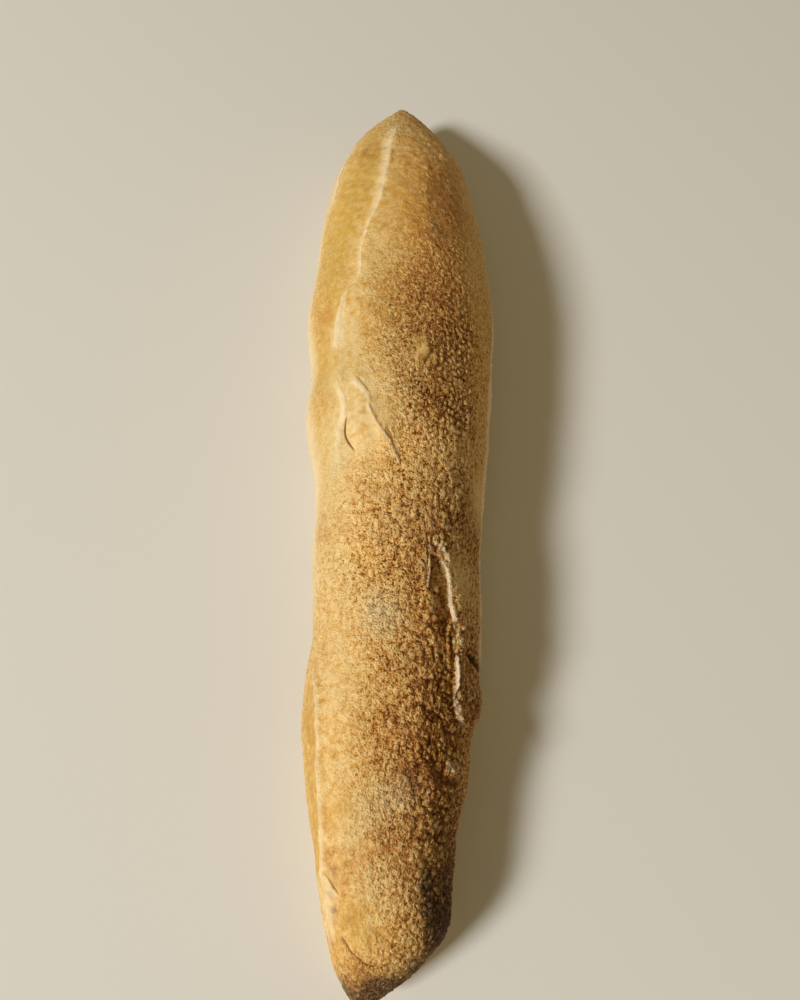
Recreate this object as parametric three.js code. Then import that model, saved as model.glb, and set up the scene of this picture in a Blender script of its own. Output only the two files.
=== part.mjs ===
// A hand-shaped baguette on its flat base: one solid loaf, its crust opened along its cuts and folds.
// Millimetres, +Z up, +Y from the narrow end to the broad end, origin under the middle of the loaf.
import * as THREE from "three";
import { mergeVertices } from "three/addons/utils/BufferGeometryUtils.js";

// Driving dimensions
const LENGTH = 350;
const WIDEST_SHARE = 0.3; // height of the widest line, as a share of the height of the section
const CROWN_POWER = 2.2; // 2 is an ellipse, more is a squarer shoulder
const BASE_DROP = 1.6; // how far the underside would bulge past the base, which cuts it flat

// Facets: the upper crust is seen and gets most of them
const RINGS = 90;
const UPPER_FACETS = 48;
const LOWER_FACETS = 16;
const END_CROWDING = 0.6; // 0 spaces the rings evenly, 1 crowds them at the ends
const LINE_STEPS = 40; // how finely a crease's line is followed
const SAME_POINT = 0.001; // points closer than this are one

// Stations along the loaf: [place, left edge, right edge, crown height, underside height]
const STATIONS = [
  [-175, -11, -11, 11, 11],
  [-171, -15.6, -3.4, 17, 5],
  [-166, -18.6, 4, 22.5, 2],
  [-160, -20.8, 10, 26.5, 0.5],
  [-154, -22.2, 14.5, 29, 0],
  [-141, -24.7, 16, 32, 0],
  [-127, -27.5, 17.7, 34.5, 0],
  [-113, -29.7, 21.4, 37, 0],
  [-98, -31.5, 22.6, 39, 0],
  [-84, -31.3, 25.6, 40, 0],
  [-66, -29, 27.4, 40.6, 0],
  [-40, -30.4, 27.8, 42.5, 0],
  [-19, -30, 30.1, 45.5, 0],
  [16, -34.7, 33.8, 48, 0],
  [31, -33.4, 35, 48.6, 0],
  [56, -36.4, 36.6, 49, 0],
  [73, -34.4, 35.8, 48, 0],
  [92, -33.4, 34.6, 46, 0],
  [117, -31, 31.4, 42, 0],
  [139, -26.2, 27, 36.8, 0],
  [154, -20, 19.6, 30.6, 2],
  [164, -12.6, 13.2, 25.8, 6],
  [170, -6.2, 8.6, 22.4, 11],
  [175, 1, 1, 18.5, 18.5],
];

// Creases of the crust, each along a line of [x, y] points seen from above, from the narrow end on.
// The line rises by its lip, or sinks where that is negative, over its width to each side.
// The crust to its right stands a step above the crust to its left, and both sides come back
// to the loaf's own shape over the reach.
const CREASES = [
  {
    // The longest cut, opened into an ear
    line: [[-19, 4], [-23, 22], [-23, 42], [-15.5, 57], [-13, 78], [-8.5, 95], [-3.5, 134], [1, 157]],
    lip: 0.9,
    width: 2.6,
    step: 1.8,
    reach: 12,
  },
  {
    // The tear at the foot of that cut
    line: [[-14, -12.5], [-18, -6], [-18.5, 3]],
    lip: -1,
    width: 2.4,
    step: 1,
    reach: 8,
  },
  {
    // The flap beside the tear
    line: [[-0.5, -17], [-4, -7], [-9.5, 4], [-16.5, 16.5]],
    lip: 0.6,
    width: 2.4,
    step: -0.9,
    reach: 8,
  },
  {
    // The channel of the torn side
    line: [[15, -74], [13.5, -58], [12.5, -45]],
    lip: -1.7,
    width: 3,
    step: 0,
    reach: 8,
  },
  {
    // The torn lip that stands over the channel
    line: [[18.5, -97], [17.5, -90], [18.5, -67], [16.5, -52], [11, -40]],
    lip: 1.3,
    width: 2.2,
    step: 0.8,
    reach: 7,
  },
  {
    // The fold that edges the narrow half
    line: [[-21.5, -146], [-23, -130], [-24.5, -112], [-26, -92], [-28, -78]],
    lip: 1,
    width: 2.6,
    step: 1.4,
    reach: 9,
  },
  {
    // The curl at the narrow end
    line: [[-6.5, -162], [-10, -162.5], [-13, -160], [-16.5, -154.5]],
    lip: -0.7,
    width: 2.2,
    step: 0.6,
    reach: 6,
  },
];
const CREASE_TAPER = 0.18; // share of a line over which it starts and ends

// Lumps of the crust, its flake and the crags of its browned side: [x, y, radius, height]
const LUMPS = [
  [23.5, -91, 13, 2.8],
  [15.5, -111, 6, 1.6],
  [1, 172, 4, 0.8],
  [8.5, 25, 7, 0.9],
  [9, -92, 7, 0.7],
  [6.5, -104, 6, 0.7],
  [7.5, -113, 6, 0.6],
];

// The ends are blunt, so the stations are joined smoothly over the angle
// at which a half circle reaches each place.
const angleAt = (y) => Math.asin(THREE.MathUtils.clamp((2 * y) / LENGTH, -1, 1));
const places = STATIONS.map((station) => angleAt(station[0]));
const sections = new THREE.CubicInterpolant(places, STATIONS.flatMap((station) => station.slice(1)), 4);

function sectionAt(y) {
  const [left, right, crown, lowest] = sections.evaluate(angleAt(y));
  const underside = Math.max(0, lowest);
  return {
    middle: (left + right) / 2,
    halfWidth: (right - left) / 2,
    crown,
    underside,
    widest: underside + WIDEST_SHARE * (crown - underside),
  };
}

// A point of the plain loaf: turn runs from the left edge over the crown (0 to pi),
// then back under it (pi to 2 pi).
function plainPoint(y, turn) {
  const { middle, halfWidth, crown, underside, widest } = sectionAt(y);
  const across = -Math.cos(turn);
  const up = Math.sin(turn);
  if (up < 0) {
    const low = widest + (widest - underside) * BASE_DROP * up;
    return new THREE.Vector3(middle + halfWidth * across, y, Math.max(underside, low));
  }
  const squared = (value) => Math.sign(value) * Math.abs(value) ** (2 / CROWN_POWER);
  const x = middle + halfWidth * squared(across);
  return new THREE.Vector3(x, y, widest + (crown - widest) * squared(up));
}

// The point of the upper crust that lies over a place on the plan.
function crustOver(x, y) {
  const { middle, halfWidth, crown, widest } = sectionAt(y);
  const share = Math.min(1, Math.abs(x - middle) / halfWidth);
  const height = (1 - share ** CROWN_POWER) ** (1 / CROWN_POWER);
  return new THREE.Vector3(x, y, widest + (crown - widest) * height);
}

const creases = CREASES.map((crease) => {
  const plan = new THREE.SplineCurve(crease.line.map(([x, y]) => new THREE.Vector2(x, y)));
  return { ...crease, points: plan.getPoints(LINE_STEPS).map(({ x, y }) => crustOver(x, y)) };
});
const lumps = LUMPS.map(([x, y, radius, height]) => ({ centre: crustOver(x, y), radius, height }));

function creaseRise(point, { points, lip, width, step, reach }) {
  let nearest = 0;
  for (let i = 1; i < points.length; i++) {
    if (points[i].distanceToSquared(point) < points[nearest].distanceToSquared(point)) nearest = i;
  }
  const ahead = points[Math.min(nearest + 1, LINE_STEPS)].clone().sub(points[Math.max(nearest - 1, 0)]);
  const offset = point.clone().sub(points[nearest]);
  const distance = offset.length();
  const side = Math.sign(ahead.y * offset.x - ahead.x * offset.y);
  const share = nearest / LINE_STEPS;
  const taper = THREE.MathUtils.smoothstep(Math.min(share, 1 - share), 0, CREASE_TAPER);
  const ridge = lip * Math.exp(-((distance / width) ** 2));
  const sides = (step / 2) * side * Math.tanh(distance / width) * Math.exp(-((distance / reach) ** 2));
  return taper * (ridge + sides);
}

function lumpRise(point, { centre, radius, height }) {
  return height * Math.exp(-(((2 * point.distanceTo(centre)) / radius) ** 2));
}

function ringPlace(ring) {
  const share = 1 - (2 * ring) / RINGS;
  return (LENGTH / 2) * THREE.MathUtils.lerp(share, Math.sin((Math.PI / 2) * share), END_CROWDING);
}

function facetTurn(facet) {
  if (facet <= UPPER_FACETS) return (Math.PI * facet) / UPPER_FACETS;
  return Math.PI * (1 + (facet - UPPER_FACETS) / LOWER_FACETS);
}

// The loaf is a sphere with its poles at the two ends, drawn out over the sections.
function plainLoaf() {
  const facets = UPPER_FACETS + LOWER_FACETS;
  const geometry = new THREE.SphereGeometry(1, facets, RINGS);
  geometry.deleteAttribute("normal");
  geometry.deleteAttribute("uv");
  for (let ring = 0; ring <= RINGS; ring++) {
    for (let facet = 0; facet <= facets; facet++) {
      const { x, y, z } = plainPoint(ringPlace(ring), facetTurn(facet % facets));
      geometry.attributes.position.setXYZ(ring * (facets + 1) + facet, x, y, z);
    }
  }
  return mergeVertices(geometry, SAME_POINT);
}

// Every point off the base moves out or in along its normal by the creases and lumps it lies on.
function raiseCrust(geometry) {
  geometry.computeVertexNormals();
  const { position, normal } = geometry.attributes;
  for (let i = 0; i < position.count; i++) {
    const point = new THREE.Vector3().fromBufferAttribute(position, i);
    if (point.z === 0) continue;
    const creased = creases.reduce((rise, crease) => rise + creaseRise(point, crease), 0);
    const lumped = lumps.reduce((rise, lump) => rise + lumpRise(point, lump), 0);
    point.addScaledVector(new THREE.Vector3().fromBufferAttribute(normal, i), creased + lumped);
    position.setXYZ(i, point.x, point.y, Math.max(0, point.z));
  }
}

function loafGeometry() {
  const geometry = plainLoaf();
  raiseCrust(geometry);
  geometry.computeBoundingBox();
  const { min, max } = geometry.boundingBox;
  geometry.translate(-(min.x + max.x) / 2, -(min.y + max.y) / 2, -min.z);
  geometry.computeVertexNormals();
  return geometry;
}

const crust = new THREE.MeshStandardMaterial({ color: 0xc89a55, roughness: 0.75, metalness: 0 });
const loaf = new THREE.Mesh(loafGeometry(), crust);
loaf.name = "loaf";

const baguette = new THREE.Group();
baguette.add(loaf);

export default baguette;
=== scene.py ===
"""A hand-shaped baguette: the crust of the frame's loaf with its torn cuts, crags, grain and flour."""
import math
import bpy
import numpy as np
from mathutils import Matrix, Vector, noise
from mathutils.bvhtree import BVHTree


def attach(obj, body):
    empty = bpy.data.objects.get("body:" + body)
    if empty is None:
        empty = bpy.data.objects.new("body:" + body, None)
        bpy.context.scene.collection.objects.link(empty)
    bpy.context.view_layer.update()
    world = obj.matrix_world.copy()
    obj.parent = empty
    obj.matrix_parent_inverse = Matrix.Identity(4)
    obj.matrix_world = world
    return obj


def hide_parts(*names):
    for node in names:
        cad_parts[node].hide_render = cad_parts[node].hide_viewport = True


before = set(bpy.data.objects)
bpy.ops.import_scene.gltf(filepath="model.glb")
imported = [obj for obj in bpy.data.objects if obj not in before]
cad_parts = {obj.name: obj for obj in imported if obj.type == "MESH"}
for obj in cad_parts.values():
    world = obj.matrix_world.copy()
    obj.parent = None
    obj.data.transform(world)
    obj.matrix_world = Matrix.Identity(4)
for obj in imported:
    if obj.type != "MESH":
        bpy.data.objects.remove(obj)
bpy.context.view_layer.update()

MM = 0.001

# The photograph's view, in pixels, millimetres and degrees
IMAGE_HEIGHT = 1000
FOCAL_LENGTH = 850
SENSOR = 36
CAMERA_PLACE = (0, -145.53, 291.8)
CAMERA_TILT = 25

# Soft light from the left, low enough to draw a shadow nearly as wide as the loaf
TO_WINDOW = (-0.694, -0.370, 0.616)
WINDOW_AWAY = 3000
WINDOW_SIZE = (750, 600)
WINDOW_WATTS = 87
FILL_COLOUR = (1, 0.8, 0.45, 1)
FILL_STRENGTH = 0.25
FLOOR_SIZE = 6000
FLOOR_COLOUR = "DCD9D1"

# Mesh and relief of the crust, lengths in millimetres
MERGE_DISTANCE = 0.01
SUBDIVISIONS = 3
TRIANGLE_LIMIT = 196000
PEBBLE_SIZE = 1.9
PEBBLE_RISE = 0.36
PEBBLE_FOOT = 0.6  # how much of a pebble's rise lies below the crust around it
PEBBLE_BEND = 0.4  # how far the pebbles are out of round, as a share of their size
PEBBLE_CREVICE = 0.4  # width of the crevice between two pebbles, as a share of their size
COARSE_PEBBLE_SIZE = (2.6, 4, 2.6)
LUMP_SIZE = 3.6  # lumps of the cracked crust
LUMP_GAP = 0.3  # width of the gap between two lumps, as a share of their size
CRAG_DEPTH = 1.1
TORN_WIDTH = 2.2  # within this distance of a tear's line the mesh stays dense
TORN_KEPT = 3  # how much the thinning of the mesh spares the tears
BASE_MARGIN = 3  # height over which the relief fades out towards the flat base
ABOVE_LOAF = 100  # height from which a tear's line is dropped onto the crust
LINE_STEP = 0.25  # spacing of the points along a tear
REACH_MARGIN = 1  # how far past its profile a tear is looked at
SEED = 7  # of the tears' uneven runs and of the bend of the pebbles

# Waves of the crust: [height, size of the bumps, shift that sets the wave apart from the others]
SWELLS = [[0.45, 16, 0], [0.2, 7, 3], [0.16, 3.6, 9]]
FINE_GRAIN = [[0.16, 1.2, 5]]
BLISTERS = [[0.38, (2.8, 4.4, 2.8), 17]]
GAP_BREAKS = [[1, 6, 31]]
FLANK_EDGE_WAVE = [[0.08, (9, 14, 9), 23]]
FLANK_END_WAVE = [[12, 11, 29]]
CREAM_WAVE = [[0.25, (9, 16, 9), 37]]

# How far the crust faces up, 1 where it is level and 0 where it is upright, at the two ends of a change
TOP_FACING = (-0.25, 0.05)
RIM_FACING = (-0.9, 0.1)
LEFT_FLANK_FACING = (0.2, 0.55)
RIGHT_FLANK_FACING = (0.2, 0.25)
RIGHT_EDGE_FACING = (0.1, 0.18)
# Where the hardly browned flanks fade out along the loaf
FLANK_NEAR_END = (-80, -30)
FLANK_FAR_END = (140, 165)
RIGHT_FLANK_FURTHER = 24  # how much further towards the narrow end the right flank runs

# Shares of the grain and the finishes
ROUGHEST = 1.7
SIDE_GRAIN = 0.3  # grain of the lower flanks
TOP_GRAIN = 0.7  # what the upper crust has beyond that
FLANK_SMOOTHING = 0.25
GAP_OPENING = (-0.3, 0.2)  # heights of the wave between which the gaps of the crags open
EVEN_BAKE = 0.13
GRAIN_LIGHTENS = 0.26
LINES_LIGHTEN = 0.16
RUDDY_ALL_OVER = 0.18
CRUMB_COVER = 2  # share of the pale finish for each millimetre that a crumb rises
CRUMB_PALEST = 0.85
# Painted shade: how dark the holes may get, and how dark the gaps between the crags
HOLE_PAINTED_SHADE_DARKEST = 0.9
CRAG_GAP_PAINTED_SHADE = 0.75
FLANK_CREAM = 0.25
RIM_CREAM = 0.6
# The right flank's pale rim gets a brighter, warmer colour than the left: pale crust, and painted light in
# that side's shade
RIGHT_RIM_BLOND_AND_PAINTED_LIGHT = 0.9
# The right edge gets the white crumb colour: painted light on the shaded side
RIGHT_EDGE_CRUMB_AND_PAINTED_LIGHT = 0.8

# Tears, folds and cracks of the crust, each along a line of [x, y] places on the loaf seen from above.
# rise and the torn finishes are (offset, amount) pairs across the line: offsets are millimetres to its right,
# rise is in millimetres, the finishes are shares. width gives (share of the line, scale of the offsets),
# taper is the share over which a line starts and ends, ragged how unevenly it comes and goes, wander how far
# it strays sideways and lean how far it curls over.
# The tears' dark, char, crumb and pale carry painted shade and painted highlights in places, said at each
TORN_FINISHES = ("pale", "crumb_and_painted_light", "dark", "gold", "char_and_painted_shade")
TEARS = {
    "ear": {
        "line": [[-19.5, 52.6], [-18.1, 55.4], [-15.2, 58.4], [-14.2, 64.1], [-14.4, 70.8], [-12.2, 81],
                 [-10.8, 87], [-8.4, 94], [-6.6, 101.4], [-5.5, 110.6], [-4.6, 120.3], [-4.2, 127.3],
                 [-3.4, 136], [-1.2, 148], [0, 156]],
        "rise": [(-3.6, 0), (-1.6, 0.1), (-0.2, 0.25), (0.3, 0.15), (1.6, 0)],
        "pale": [(-4.4, 0), (-2.8, 0.45), (-1.4, 0.6), (-0.5, 0.85), (0, 0.95), (0.3, 0.6), (0.6, 0)],
        "width": [(0, 0.5), (0.35, 0.6), (0.5, 1.1), (0.65, 1.2), (0.85, 1.2), (1, 1)],
        "ragged": 0.15,
        "wander": 0.2,
    },
    "thin end of the ear": {
        "line": [[-24.5, 29], [-23.4, 31.8], [-23, 35.7], [-22.9, 39.9], [-22.5, 43.8], [-21.6, 47.5],
                 [-20.7, 51.8], [-18.5, 55]],
        "rise": [(-1.6, 0), (-0.4, 0.1), (0, 0.4), (0.4, 0.35), (1.4, 0)],
        "pale": [(-0.6, 0), (-0.2, 0.75), (0.5, 0.8), (1.4, 0.45), (2.4, 0)],
        "width": [(0, 2.6), (0.4, 2), (0.7, 1.2), (1, 0.7)],
        "taper": 0.15,
    },
    "edge of the brown band": {
        "line": [[13.6, 69.8], [11.9, 78], [11, 88.6], [10.4, 98.9], [10.6, 109.5], [12.4, 118.2]],
        "rise": [(-4, 0), (0, 0.1), (4, -0.15), (9, 0)],
        "dark": [(-2, 0), (1.6, 0.28), (6, 0.26), (12, 0)],
        "ragged": 0.3,
        "wander": 1.2,
        "taper": 0.25,
    },
    "rim of the broad end": {
        "line": [[-32.6, 76], [-31.6, 84], [-30.9, 93], [-29.2, 102], [-27.4, 108], [-26, 114],
                 [-24.4, 122.7], [-22.2, 131.5], [-19.4, 140.5], [-16.8, 148]],
        "rise": [(-2.5, 0), (-0.6, 0.2), (0, -0.3), (0.6, 0.2), (2, 0)],
        "pale": [(-9, 0), (-4, 0.75), (-0.6, 0.8), (-0.2, 0), (0.2, 0), (0.5, 0.4), (1.4, 0.35), (2.2, 0)],
        "dark": [(-0.4, 0), (0, 0.35), (0.4, 0)],
        "ragged": 0.2,
        "wander": 0.3,
    },
    "foot of the ear": {
        "line": [[-21.4, -12], [-20.8, -6.6], [-20.4, -0.9], [-19.2, 2.8], [-19.5, 8.6], [-21.1, 12.9],
                 [-22.6, 20]],
        "rise": [(-2.4, 0), (-0.3, 0.25), (0.3, 0.25), (1.6, 0)],
        "pale": [(-1.7, 0), (-0.7, 0.75), (0.5, 0.8), (1.3, 0)],
        "ragged": 0.25,
        "wander": 0.3,
        "taper": 0.3,
    },
    "tear": {
        "line": [[-14.4, -12.2], [-16, -9.7], [-17.3, -7.3], [-18.1, -5.2], [-18.5, -3.2], [-18.4, -1],
                 [-17.9, 1], [-17.1, 2.8]],
        "rise": [(-1.6, 0), (-0.6, 0.1), (0, -0.4), (0.6, 0.1), (2.6, 0)],
        # The tear's dark is partly its brown and partly painted shade in the groove
        "dark": [(-0.6, 0), (-0.25, 0.95), (0.2, 0.95), (0.65, 0)],
        "width": [(0, 0.5), (0.4, 0.9), (0.8, 1), (1, 0.5)],
        "taper": 0.15,
    },
    "fold of the flap": {
        "line": [[-10.4, 5], [-11.8, 9.5], [-14.3, 12.6], [-16.5, 15.5]],
        "rise": [(-1.8, 0), (-0.3, 0.3), (0.5, 0.25), (1.3, -0.05), (2, 0)],
        "pale": [(-1.2, 0), (-0.8, 0.85), (0.4, 0.85), (0.8, 0)],
        # The dark at the fold's right foot is painted shadow
        "dark": [(0.8, 0), (1.1, 0.4), (1.5, 0)],
        "width": [(0, 0.7), (0.5, 1), (1, 1.5)],
        "ragged": 0.7,
        "wander": 0.5,
        "taper": 0.2,
    },
    "seam of the flap": {
        "line": [[-2.6, -18.8], [-1.3, -18.2], [-0.7, -16.1], [-1.6, -13.4], [-3, -9.9], [-4.9, -7.3],
                 [-7.3, -3.2], [-9.3, 0.7], [-11.4, 5.9]],
        "rise": [(-1.6, 0), (-0.6, 0.12), (0, 0.14), (0.6, 0), (1.2, 0)],
        "pale": [(-1, 0), (-0.6, 0.85), (-0.1, 0.85), (0.15, 0)],
        # The dark line at the seam's right is painted shadow, with the ridge kept low
        "dark": [(0, 0), (0.3, 0.7), (0.6, 0.7), (1.1, 0)],
        "ragged": 0.4,
        "wander": 0.3,
    },
    "split beside the flap": {
        "line": [[-1.3, -13], [-2, -10.9], [-3, -7.2], [-4, -5], [-5.3, -2.4]],
        "rise": [(-0.6, 0), (0, -0.2), (0.6, 0)],
        "dark": [(-0.5, 0), (0, 0.8), (0.5, 0)],
        "taper": 0.3,
    },
    "flake": {
        "line": [[5.1, 19.5], [5.8, 22.4], [7.2, 25.3], [8.7, 27.5], [10.8, 29.4]],
        "rise": [(-0.9, 0), (0, 0.5), (1.4, 0.6), (2.6, 0.3), (3.4, -0.5), (4.6, 0)],
        # The flake's pale left edge is a painted highlight and the dark on its right is painted shadow
        "pale": [(-0.5, 0), (0, 0.6), (0.4, 0.3), (0.8, 0)],
        "dark": [(2.8, 0), (3.4, 0.7), (4.4, 0)],
        "ragged": 0.3,
        "wander": 0.3,
        "taper": 0.2,
    },
    "thin lip": {
        "line": [[8.4, -58.9], [8.7, -56], [9.2, -53.2], [9.4, -50.5], [9.5, -48.2], [9.4, -46]],
        "rise": [(-1.6, 0), (-0.4, 0.2), (-0.1, 0.7), (0.25, 0.6), (0.7, -0.6), (2.6, -0.8), (4, 0)],
        "pale": [(-0.45, 0), (-0.2, 0.9), (0.2, 0.9), (0.4, 0)],
        # The dark in the groove right of the lip is painted shade
        "dark": [(0.5, 0), (0.9, 0.35), (3.4, 0.25), (4.5, 0)],
        "ragged": 0.2,
        "wander": 0.15,
        "taper": 0.2,
    },
    "strand by the thin lip": {
        "line": [[10.9, -62.9], [10.3, -61.5], [10, -58.9], [9.7, -57]],
        "rise": [(-0.8, 0), (0, 0.4), (0.6, -0.4), (2, 0)],
        "pale": [(-0.4, 0), (-0.1, 0.6), (0.1, 0.6), (0.4, 0)],
        "ragged": 0.4,
        "taper": 0.2,
    },
    "upper torn lip": {
        "line": [[16.4, -49.1], [15.6, -47.9], [14.5, -45.8], [13.8, -43.9], [11.7, -42.8], [10.7, -41.7]],
        "rise": [(-2, 0), (-1.1, -0.5), (-0.6, 0.2), (-0.2, 0.8), (0.3, 0.7), (1.2, 0.2), (3, 0)],
        "pale": [(-0.7, 0), (-0.45, 0.95), (0.15, 0.95), (0.45, 0)],
        "ragged": 0.2,
        "wander": 0.2,
        "taper": 0.15,
    },
    "torn lip": {
        "line": [[18.1, -68.8], [17.4, -66.2], [16.5, -62.8], [16.3, -60], [16.2, -56.8], [15.9, -54],
                 [15.3, -51.4], [14, -48.6], [12.4, -46.8]],
        "rise": [(-4, 0), (-2.4, -0.9), (-1.2, -0.9), (-0.7, -0.1), (-0.2, 1.2), (0.3, 1.2), (1.2, 0.4),
                 (4, 0)],
        # The crumb on the lip's left face is white crumb, partly a painted highlight; the dark of the channel
        # at its left is partly brown, partly painted shade
        "crumb_and_painted_light": [(-1, 0), (-0.7, 0.9), (0.15, 0.9), (0.45, 0)],
        "dark": [(-4.5, 0), (-3, 0.3), (-1.8, 0.6), (-1.1, 0.6), (-0.85, 0)],
        "width": [(0, 1.3), (1, 0.9)],
        "ragged": 0.15,
        "wander": 0.2,
        "lean": -0.25,
    },
    "branch of the torn lip": {
        "line": [[18.7, -71], [19.7, -69.8], [21.3, -67.9], [23.8, -66.1]],
        "rise": [(-1.2, 0), (-0.2, 0.6), (0.3, 0.4), (0.7, -0.7), (1.5, -0.5), (2.6, 0)],
        "pale": [(-0.6, 0), (-0.3, 0.75), (0.15, 0.75), (0.4, 0)],
        # The dark below the branch is painted shadow
        "dark": [(0.4, 0), (0.8, 0.9), (1.4, 0.6), (2.2, 0)],
        "ragged": 0.5,
        "wander": 0.3,
        "taper": 0.25,
    },
    "lower lip": {
        "line": [[17.4, -89.4], [17.8, -87.4], [17.8, -85.1], [17.9, -82.7], [17.9, -80.2], [17.8, -77.6]],
        "rise": [(-4, 0), (-2.2, -0.8), (-1.2, -0.7), (-0.3, 1.6), (0.1, 1.5), (0.8, 0.4), (3.5, 0)],
        # The crumb on the lip's left face is white crumb, partly a painted highlight; the dark at its left
        # and right feet is painted shade
        "crumb_and_painted_light": [(-1, 0), (-0.75, 1), (-0.1, 1), (0.2, 0)],
        "dark": [(-4, 0), (-2.6, 0.4), (-1.5, 0.4), (-1.1, 0), (0.5, 0), (0.9, 0.6), (1.8, 0)],
        "width": [(0, 0.6), (0.3, 0.75), (0.7, 0.8), (1, 0.5)],
        "ragged": 0.15,
        "wander": 0.1,
        "lean": -0.2,
    },
    "crumbling lip": {
        "line": [[19.6, -97.7], [18.5, -95.9], [18, -93.8], [17.7, -91.5], [17.9, -89.2], [18.3, -87.1]],
        "rise": [(-3, 0), (-2, -0.6), (-1.2, 0.2), (-0.5, 0.5), (0.4, 0.4), (1, 0.3), (1.7, -0.5), (3, 0)],
        "pale": [(-2, 0), (-1.6, 0.35), (0.2, 0.35), (0.7, 0)],
        # The dark in the grooves on both sides of the lip is painted shade
        "dark": [(-2.8, 0), (-2.2, 0.6), (-1.8, 0), (1.3, 0), (1.7, 0.6), (2.4, 0)],
        "width": [(0, 0.6), (0.3, 0.9), (0.7, 0.9), (1, 0.6)],
        "ragged": 0.7,
        "wander": 0.4,
        "taper": 0.15,
    },
    "strand beside it": {
        "line": [[18.7, -91.6], [18.9, -89.9], [19.1, -87.7]],
        "rise": [(-0.7, 0), (0, 0.4), (0.7, -0.2), (1.2, 0)],
        "pale": [(-0.4, 0), (-0.1, 0.6), (0.1, 0.6), (0.4, 0)],
        "taper": 0.25,
    },
    "pocket": {
        "line": [[20.8, -76.4], [22.2, -76.9], [23.6, -77.8], [24.7, -79.1], [25.5, -80.6]],
        "rise": [(-2.4, 0), (-0.5, 0.4), (-0.1, 0.3), (0.5, -1.6), (1, -1.6), (1.8, 0), (2.8, 0.4), (5, 0)],
        # The pocket's dark and char are painted shade under its overhanging edge
        "dark": [(-0.2, 0), (0.1, 1), (1.2, 1), (1.6, 0)],
        "char_and_painted_shade": [(-0.1, 0), (0.2, 1), (1.1, 1), (1.5, 0)],
        "ragged": 0.15,
        "taper": 0.12,
    },
    "lip of the pocket": {
        "line": [[20.9, -78.7], [21.5, -76.7], [22.1, -74.9]],
        "rise": [(-1, 0), (0, 0.5), (0.8, 0)],
        "pale": [(-0.6, 0), (-0.3, 0.7), (0.2, 0.7), (0.5, 0)],
        "taper": 0.3,
    },
    "strand beside the channel": {
        "line": [[15, -82], [15.4, -78.7], [14.8, -75.3], [15.1, -71.3], [15.7, -66.6]],
        "rise": [(-1.6, -0.2), (-0.9, -0.5), (0, 0.5), (0.9, -0.5), (1.6, -0.2)],
        # The dark in the grooves on both sides of the strand is painted shade
        "dark": [(-1.8, 0), (-1, 0.6), (-0.3, 0), (0.4, 0), (1, 0.6), (1.8, 0)],
        "ragged": 0.5,
        "wander": 0.4,
        "taper": 0.2,
    },
    "fold": {
        "line": [[-21.6, -147], [-22.6, -141], [-22.9, -133.4], [-23.3, -125.4], [-24.2, -114.4],
                 [-24.8, -103.3], [-25.5, -91.5], [-27.7, -79.4]],
        "rise": [(-3, 0), (-0.6, 0.05), (0, 0.45), (0.8, 0.3), (3, 0)],
        "pale": [(-0.6, 0), (-0.2, 0.5), (0.6, 0.5), (1.4, 0)],
        "gold": [(-12, 0.5), (-6, 0.8), (-1.2, 0.9), (-0.3, 0)],
        "ragged": 0.2,
        "wander": 0.3,
    },
    "crack over the fold": {
        "line": [[-17.2, -145.8], [-18.2, -144.2], [-19.1, -142.9], [-20, -141.5], [-21.6, -139.2]],
        "rise": [(-1.6, 0.2), (-0.4, 0.2), (0, -0.5), (0.4, 0), (1, 0.1), (2, 0)],
        "pale": [(-3.4, 0), (-2, 0.5), (-0.7, 0.5), (-0.3, 0)],
        "dark": [(-0.3, 0), (0, 0.8), (0.3, 0)],
        "taper": 0.25,
    },
    "pale edge": {
        "line": [[-18.3, -160], [-19.1, -157.6], [-19.7, -152.9], [-20.7, -147.8], [-21.4, -144.5],
                 [-22.2, -142]],
        "rise": [(-3, 0), (0, 0.15), (2, 0)],
        "pale": [(-3.5, 0), (-1.5, 0.35), (1, 0.4), (2.2, 0)],
        "taper": 0.3,
    },
    "curl": {
        "line": [[-6, -161.2], [-6.8, -163.2], [-9.2, -163.2], [-10.6, -162.2], [-12.5, -160.8],
                 [-14.5, -159.1], [-16.1, -156.6], [-17.2, -154.9]],
        "rise": [(-1.4, 0.05), (-0.4, 0.05), (0, -0.3), (0.3, -0.2), (0.8, 0.2), (2.2, 0)],
        "pale": [(0.4, 0), (0.8, 0.3), (1.3, 0)],
        "dark": [(-0.3, 0), (0, 0.8), (0.15, 0.7), (0.4, 0)],
        "ragged": 0.2,
        "wander": 0.2,
    },
    "crease of the side": {
        "line": [[-26.2, -65], [-26.9, -57.5], [-28.3, -51.5]],
        "rise": [(-1.2, 0.15), (0, -0.45), (1, 0.1), (2, 0)],
        "dark": [(-0.6, 0), (0, 0.8), (0.6, 0)],
        "taper": 0.3,
    },
}
LINE_TAPER = 0.12  # share of a line over which it starts and ends, where its tear gives none
EVEN_WIDTH = [(0, 1), (1, 1)]
RAGGED = ((3.2, 0.8), (1.1, 0.3))  # distance between a line's high and low places, how much it varies

# Bumps and hollows of the crust: [x, y, half width, half length, rise]
BUMPS = [
    [5.6, 19.7, 1, 1, 0.35],
    [-12.4, 80.5, 0.9, 0.9, 0.4],
    [-19.9, 110.2, 2.2, 2.6, 0.35],
    [-14.2, 106.9, 2.2, 2.6, 0.35],
    [-21.7, 104, 1.8, 2, 0.3],
    [22, -90, 3.4, 5.5, 0.6],
    [15.3, -111.4, 2.4, 2, 1],
]
HOLES = [
    [17.9, -69.4, 0.6, 0.7, -0.8],
    [19.3, -70.6, 0.6, 0.6, -0.8],
    [17.1, -71, 0.6, 1.6, -0.8],
    [16, -73.4, 0.6, 1.8, -0.6],
    [14.4, -115.6, 1.6, 1.1, -1.2],
    [16.6, -115.2, 1.4, 1, -1],
    [12.8, -112.6, 0.8, 2.2, -0.8],
    [9.6, -111.2, 0.8, 1.4, -0.8],
]
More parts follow.
